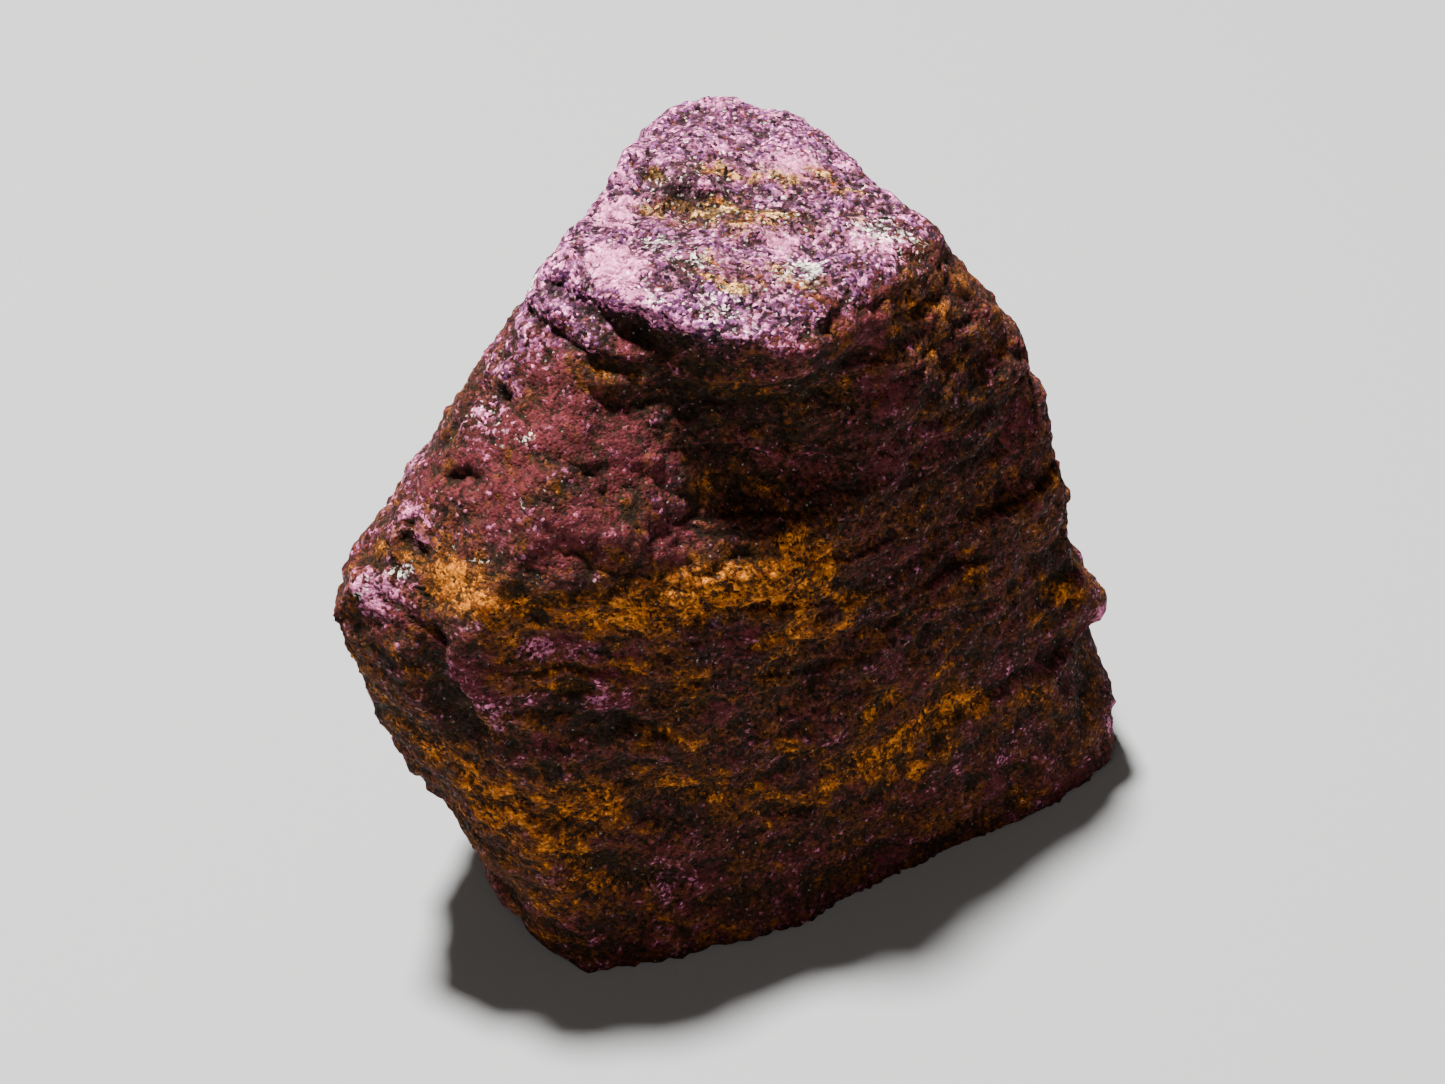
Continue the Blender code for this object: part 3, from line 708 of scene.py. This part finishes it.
def standing_proud(mesh, points, quads, rounds, full):
    """How far each point stands out of the smoothed surface round it, as a share of the full height."""
    smooth = neighbour_mean(points, quads, rounds)
    height = ((points - smooth) * normals_at(mesh, smooth)).sum(axis=1)
    return np.clip(height / full, -1, 1)


# How far each point stands proud; the finish paints shade into the hollows from these.
proud_small = standing_proud(stone_mesh, surface, quads, *PROUD_SMALL)
proud_large = standing_proud(stone_mesh, surface, quads, *PROUD_LARGE)
stone_mesh.vertices.foreach_set("co", (surface * MM).astype(np.float32).ravel())
stone_mesh.update()

stray = wandered(surface, STRAY_SPAN, STRAY, 201)
across, along_y, height = block.T
level = bed_level(block)
# The back and the far side of the left tip, which have no strokes or patches of their own.
unseen = ramp(along_y, -1.0, 4.0) * ramp(height, 36.0, 33.0)
unseen = np.maximum(unseen, ramp(across, -14.5, -16.5) * ramp(along_y, -11.0, -8.0))
# Low on the left there is more rust, and the pink of the top fades out slowly towards the back and left.
low_left = ramp(height, 19.0, 13.0) * ramp(across, -1.0, -7.0)
fade = TOP_FADE + TOP_FADE_FURTHER * np.maximum(ramp(along_y, -1.0, 4.0), ramp(across, -8.6, -11.6))
wavering = height + TOP_WAVER * swirl(block / TOP_WAVER_SPAN, 241)
top = np.clip((wavering - TOP_LEVEL + fade) / fade, 0, 1)


def bedded(salt, along, across_beds):
    """Noise drawn out along the beds: one long span along them and a short one across."""
    return swirl(np.column_stack([block[:, :2] / along, level / across_beds]), salt)


def blotches(noise, gain, floor, most):
    """Noise cut off below and above, on the unseen sides only."""
    return np.clip(noise * gain - floor, 0, most) * unseen


mauve = np.maximum(patch_share(stray, MAUVE_PATCHES), 0.55 * bedded(207, 4.5, 2.2) - 0.5 * top)
colour_shares = {
    "rust": (
        stroke_share(stray, RUST_STROKES) - 0.30 * mauve,
        0.30 - 0.42 * top - 0.28 * mauve + 0.10 * low_left + 0.26 * bedded(205, 5.0, 1.8),
        blotches(bedded(211, 6.0, 2.6), 1.6, 0.05, 0.80),
    ),
    "mauve": (mauve,),
    "lilac": (
        patch_share(stray, LILAC_PATCHES) - 0.10,
        0.46 * top - 0.10,
        blotches(swirl(block / 6.0, 221), 1.2, 0.05, 0.42),
    ),
    "violet": (
        patch_share(stray, VIOLET_PATCHES) - 0.10,
        0.75 * top - 0.10,
        blotches(swirl(block / 5.0, 231), 1.2, 0.10, 0.45),
    ),
    # Oxide, and painted shade in the bay and other shaded places.
    "oxide_and_shade": (patch_share(stray, OXIDE_AND_SHADE_PATCHES), 0.10 * top, 0.34 * bedded(209, 4.0, 1.6)),
    # Cream crumbs and seams, and over the top a painted sparkle highlight in place of its glints.
    "cream_and_highlight": (patch_share(stray, CREAM_PATCHES), stroke_share(stray, CREAM_STROKES), 0.26 * top),
    "top": (top,),
    "proud_small": (proud_small,),
    "proud_large": (proud_large,),
    "bed": (level,),
}
for name, layers in colour_shares.items():
    values = np.maximum.reduce(layers).astype(np.float32)
    stone_mesh.attributes.new(name, "FLOAT", "POINT").data.foreach_set("value", values)

# The stone: its finish

# Purpurite is a maroon to lilac manganese phosphate with a dull satin sheen. Here it is granular,
# each grain tilted its own way and some of them flashing, under stains of rust, ochre and black
# manganese oxide. A few tiny grains and the top also carry painted glint highlights, and painted
# shade darkens the hollows and the bay.

MAROON = (0.104, 0.019, 0.017, 1)
DEEP_PURPLE = (0.034, 0.010, 0.005, 1)
MAUVE = (0.096, 0.015, 0.019, 1)
PALE_GOLD = (0.78, 0.46, 0.17, 1)
LILAC = (0.80, 0.23, 0.45, 1)
VIOLET = (0.20, 0.058, 0.19, 1)
RUST = (0.112, 0.035, 0.004, 1)
ORANGE_RUST = (0.42, 0.104, 0.006, 1)
OCHRE = (0.64, 0.20, 0.014, 1)
OXIDE_AND_SHADE_BLACK = (0.014, 0.009, 0.003, 1)
CREAM_AND_HIGHLIGHT = (0.92, 0.84, 0.74, 1)
GRAIN_SPAN, PAINTED_GLINT_SPAN = 0.17, 0.09  # millimetres
# Painted glints: grains with a number above these are painted near white as highlights.
PAINTED_GLINT_LEVELS = (0.993, 0.998)  # only the few grains with a number above these flash
GRAIN_TILT = 0.40
# Noise: its span in millimetres, its detail and its roughness.
COARSE_NOISE, MIDDLE_NOISE, FINE_NOISE = (2.4, 3.0, 0.55), (0.8, 3.0, 0.55), (0.26, 4.0, 0.7)
STREAKS, ISLANDS = (0.75, 4.0, 0.62), (1.0, 9.0, 0.72)
LACE, CRACKS = (0.70, 6.0, 0.62), (1.5, 7.0, 0.66)
LACE_THINNESS, CRACK_THINNESS = 11, 16  # how steeply a ridge falls off
BED_SQUEEZE = 0.9  # along the beds the noise runs a little longer than across them
BUMP_STRENGTH, BUMP_HEIGHT = 0.9, 0.20  # the height in millimetres
REFRACTIVE_INDEX, SPECULAR_LEVEL = 1.65, 0.11
COLOUR_A, COLOUR_B, COLOUR_OUT = 6, 7, 2  # where a Mix node has its colour sockets


class Wire:
    """A shader socket. Python's operators on it add Math nodes, and node() adds any other kind."""

    def __init__(self, tree, socket=None):
        self.tree, self.socket = tree, socket

    def node(self, kind, values=None, settings=None, output=0):
        """A new node: its settings first, then a value or a link for each socket."""
        made = self.tree.nodes.new(kind)
        for name, value in (settings or {}).items():
            setattr(made, name, value)
        for name, value in (values or {}).items():
            if isinstance(value, Wire):
                self.tree.links.new(value.socket, made.inputs[name])
            else:
                made.inputs[name].default_value = value
        return Wire(self.tree, made.outputs[output])

    def maths(self, operation, *values, clamp=False):
        settings = {"operation": operation, "use_clamp": clamp}
        return self.node("ShaderNodeMath", dict(enumerate(values)), settings)

    def __add__(self, other):
        return self.maths("ADD", self, other)

    def __sub__(self, other):
        return self.maths("SUBTRACT", self, other)

    def __rsub__(self, other):
        return self.maths("SUBTRACT", other, self)

    def __mul__(self, other):
        return self.maths("MULTIPLY", self, other)

    __radd__, __rmul__ = __add__, __mul__

    def clamped(self):
        return self.maths("ADD", self, 0.0, clamp=True)

    def between(self, low, high):
        """0 below low, 1 above high, and a smooth rise between."""
        values = {"Value": self, "From Min": low, "From Max": high}
        return self.node("ShaderNodeMapRange", values, {"interpolation_type": "SMOOTHSTEP"})

    def larger(self, other):
        return self.maths("MAXIMUM", self, other)

    def mixed(self, under, over):
        """Two colours mixed by this share."""
        values = {"Factor": self, COLOUR_A: under, COLOUR_B: over}
        return self.node("ShaderNodeMix", values, {"data_type": "RGBA"}, COLOUR_OUT)

    def times(self, other):
        """This colour multiplied by another."""
        settings = {"data_type": "RGBA", "blend_type": "MULTIPLY"}
        values = {"Factor": 1.0, COLOUR_A: self, COLOUR_B: other}
        return self.node("ShaderNodeMix", values, settings, COLOUR_OUT)

    def vector(self, operation, *values):
        settings = {"operation": operation}
        return self.node("ShaderNodeVectorMath", dict(enumerate(values)), settings)

    def scaled(self, by):
        return self.node("ShaderNodeVectorMath", {0: self, "Scale": by}, {"operation": "SCALE"})

    def noise(self, span, detail, roughness):
        """Noise from 0 to 1 whose lumps are about span millimetres, at this place."""
        values = {"Vector": self, "Scale": 1 / span, "Detail": detail, "Roughness": roughness}
        return self.node("ShaderNodeTexNoise", values)

    def ridges(self, thinness):
        """1 where this noise crosses its middle, and down to 0 on both sides of it."""
        return (1 - self.maths("ABSOLUTE", self - 0.5) * thinness).clamped()

    def also(self, output):
        """Another output of the node that this socket is on."""
        return Wire(self.tree, self.socket.node.outputs[output])

    def share(self, name):
        return self.node("ShaderNodeAttribute", settings={"attribute_name": name}, output="Fac")


def purpurite_finish():
    """The purple ground first, then each stain, the painted shade and the painted highlights over it,
    then the grain of the surface.
    """
    material = bpy.data.materials.new("purpurite")
    material.use_nodes = True
    tree = material.node_tree
    shader = tree.nodes["Principled BSDF"]
    start = Wire(tree)

    place = start.node("ShaderNodeTexCoord", output="Object").scaled(1 / MM)
    grain_edge = place.node("ShaderNodeTexVoronoi", {"Vector": place, "Scale": 1 / GRAIN_SPAN})
    grain_tone = grain_edge.also("Color")
    grain_value = grain_tone.node("ShaderNodeSeparateColor", {"Color": grain_tone})
    grain_other = grain_value.also("Green")
    odd, odd_too = grain_other - 0.5, grain_value.also("Blue") - 0.5
    # Painted highlight: a few tiny grains are painted near white, more strongly on the top.
    painted_glint = place.node("ShaderNodeTexVoronoi", {"Vector": place, "Scale": 1 / PAINTED_GLINT_SPAN}, output="Color")
    painted_glint = place.node("ShaderNodeSeparateColor", {"Color": painted_glint}).between(*PAINTED_GLINT_LEVELS)
    proud, proud_large = start.share("proud_small"), start.share("proud_large")

    coarse, middle = place.noise(*COARSE_NOISE), place.noise(*MIDDLE_NOISE)
    fine = place.noise(*FINE_NOISE)
    x = place.node("ShaderNodeSeparateXYZ", {"Vector": place})
    in_bed = {"X": x * BED_SQUEEZE, "Y": x.also("Y") * BED_SQUEEZE, "Z": start.share("bed")}
    bedded = place.node("ShaderNodeCombineXYZ", in_bed)
    streaks, islands = bedded.noise(*STREAKS), bedded.noise(*ISLANDS)
    lace = bedded.noise(*LACE).ridges(LACE_THINNESS)
    cracks = bedded.noise(*CRACKS).ridges(CRACK_THINNESS)

    # Purple ground: maroon, deeper in blotches, lilac or violet where it is fresh.
    purple = (coarse * 0.4 + fine * 0.6 + odd * 0.08).between(0.42, 0.58).mixed(DEEP_PURPLE, MAROON)
    violet = start.share("violet") + (middle - 0.5) * 1.2 + (fine - 0.5) * 0.9 + odd_too * 0.7
    colour = (violet.between(0.25, 0.75) * 0.8).mixed(purple, VIOLET)
    mauve = start.share("mauve") + (middle - 0.5) * 0.9 + (fine - 0.5) * 0.9 + odd * 0.3
    mauve = mauve.between(0.25, 0.65)
    colour = (mauve * 0.85).mixed(colour, MAUVE)
    clear = start.share("lilac").between(0.45, 1.0)
    fresh = start.share("lilac") * 1.25 + (middle - 0.5) * 1.4 + (fine - 0.5) * 1.4
    fresh = fresh + odd * 0.75 + proud * 0.15
    colour = (fresh.between(0.34, 0.88) * 0.9).mixed(colour, LILAC)

    # Rust, and a lace of ochre in it.
    stain = start.share("rust") + (islands - 0.5) * 2.6 + (fine - 0.5) * 0.9 + odd * 0.20
    rusty = stain.between(0.26, 0.50)
    ochre = (stain * 0.85 + lace * 0.48).between(0.86, 1.10)
    colour = (rusty * (0.85 - start.share("top") * 0.50)).mixed(colour, RUST)
    colour = (stain.between(0.58, 0.95) * 0.9).mixed(colour, ORANGE_RUST)
    colour = (ochre * 0.9).mixed(colour, (start.share("top") * 0.8).mixed(OCHRE, PALE_GOLD))

    # Black-brown oxide in the pits and along the thin beds, and painted shade: darker where the surface
    # sinks below its smoothed surroundings, lighter where it stands proud.
    oxide_and_shade_mask = start.share("oxide_and_shade") + (0.5 - islands) * 0.9 + (streaks - 0.5) + (fine - 0.5) * 1.9
    oxide_and_shade_mask = oxide_and_shade_mask + odd_too * 0.55 + cracks * 0.30 + stain.between(0.55, 0.95) * (1 - lace) * 0.10
    oxide_and_shade_mask = oxide_and_shade_mask - clear * 0.22 - mauve * 0.14 - proud * 0.45 - proud_large * 0.20
    colour = (oxide_and_shade_mask.between(0.18, 0.46) * 0.88).mixed(colour, OXIDE_AND_SHADE_BLACK)

    # Cream crumbs, painted glint highlights on a few tiny grains, the painted sparkle of the top, and
    # grains paler or darker one by one.
    # Paler where cream crumbs lie, with a painted highlight over the top.
    pale_and_highlight = (start.share("cream_and_highlight") + (fine - 0.5) * 1.8 + odd * 0.55).between(0.55, 0.8)
    colour = (pale_and_highlight * 0.85).larger(painted_glint * (start.share("top") * 0.5 + 0.18)).mixed(colour, CREAM_AND_HIGHLIGHT)
    tone = (grain_value - 0.5) * (1.4 + start.share("top") * 0.5 - clear * 0.8 - mauve * 0.5) + 1.0
    bright = tone.node("ShaderNodeCombineColor", {"Red": tone, "Green": tone, "Blue": tone})
    tree.links.new(colour.times(bright).socket, shader.inputs["Base Color"])

    # Each grain tilts its own way over a finely lumpy surface.
    straight = start.node("ShaderNodeNewGeometry", output="Normal")
    lean = place.vector("SUBTRACT", grain_tone, (0.5, 0.5, 0.5)).scaled(GRAIN_TILT)
    tilted = place.vector("NORMALIZE", place.vector("ADD", straight, lean))
    height = fine * 0.8 + middle * 0.5 - grain_edge * 0.35 + streaks * 0.15 + ochre * 0.4
    height = height - oxide_and_shade_mask.clamped() * 0.4 - cracks * 0.3
    bump = {"Strength": BUMP_STRENGTH, "Distance": BUMP_HEIGHT * MM, "Height": height, "Normal": tilted}
    bumped = place.node("ShaderNodeBump", bump)
    tree.links.new(bumped.socket, shader.inputs["Normal"])

    dull = 0.92 - grain_other.between(0.80, 0.97) * 0.55 + rusty * 0.2
    tree.links.new(dull.clamped().socket, shader.inputs["Roughness"])
    shader.inputs["IOR"].default_value = REFRACTIVE_INDEX
    shader.inputs["Specular IOR Level"].default_value = SPECULAR_LEVEL
    return material


stone_mesh.materials.append(purpurite_finish())
stone_mesh.shade_smooth()
stone = bpy.data.objects.new("purpurite_stone", stone_mesh)
bpy.context.scene.collection.objects.link(stone)
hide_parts("purpurite_mass")
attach(stone, "root")

# The floor, the lights and the camera

# A plain pale matt floor, one soft lamp high up behind and to the left, a broad weak one in front,
# and a camera that looks down at the tall face.

FLOOR_HALF, FLOOR_COLOUR, FLOOR_ROUGHNESS = 1.5, (0.34, 0.345, 0.35, 1), 0.85
MIDDLE = Vector((-0.0015, -0.00235, 0.018))  # what the lamps and the camera are turned to, in metres
CAMERA_PLACE = (-0.0015, -0.13411, 0.12856)
LENS, SENSOR_WIDTH = 85, 36  # millimetres
NEAREST_SEEN = 0.01
ROOM_COLOUR, ROOM_STRENGTH = (0.80, 0.80, 0.80, 1), 0.06
# Each lamp's direction from the stone, its distance and size in metres, its watts and its colour.
LAMPS = {
    "high_lamp": ((-0.19, 0.15, 1.0), 0.50, 0.06, 12.0, (1.0, 0.98, 0.96)),
    "front_lamp": ((-0.15, -0.72, 0.68), 0.60, 0.40, 0.66, (1.0, 0.93, 0.86)),
}


def make_floor():
    """A wide square at the resting plane."""
    square = np.array([(-1, -1), (1, -1), (1, 1), (-1, 1)]) * FLOOR_HALF
    mesh = new_mesh("floor", np.column_stack([square, np.zeros(4)]), np.array([[0, 1, 2, 3]]))
    paint = bpy.data.materials.new("pale_floor")
    paint.use_nodes = True
    shader = paint.node_tree.nodes["Principled BSDF"]
    shader.inputs["Base Color"].default_value = FLOOR_COLOUR
    shader.inputs["Roughness"].default_value = FLOOR_ROUGHNESS
    mesh.materials.append(paint)
    floor = bpy.data.objects.new("floor", mesh)
    bpy.context.scene.collection.objects.link(floor)


def make_lamp(name, direction, distance, size, watts, colour):
    """A round soft lamp, turned to the stone."""
    lamp = bpy.data.lights.new(name, "AREA")
    lamp.shape, lamp.size, lamp.energy, lamp.color = "DISK", size, watts, colour
    holder = bpy.data.objects.new(name, lamp)
    away = Vector(direction).normalized()
    holder.location = MIDDLE + away * distance
    holder.rotation_euler = away.to_track_quat("Z", "Y").to_euler()
    bpy.context.scene.collection.objects.link(holder)


make_floor()
for name, lamp in LAMPS.items():
    make_lamp(name, *lamp)

world = bpy.data.worlds.new("soft_room")
world.use_nodes = True
background = world.node_tree.nodes["Background"]
background.inputs["Color"].default_value = ROOM_COLOUR
background.inputs["Strength"].default_value = ROOM_STRENGTH
bpy.context.scene.world = world

camera = bpy.data.cameras.new("camera")
camera.lens, camera.sensor_width, camera.clip_start = LENS, SENSOR_WIDTH, NEAREST_SEEN
view = bpy.data.objects.new("camera", camera)
view.location = CAMERA_PLACE
view.rotation_euler = (MIDDLE - view.location).to_track_quat("-Z", "Y").to_euler()
bpy.context.scene.collection.objects.link(view)
bpy.context.scene.camera = view
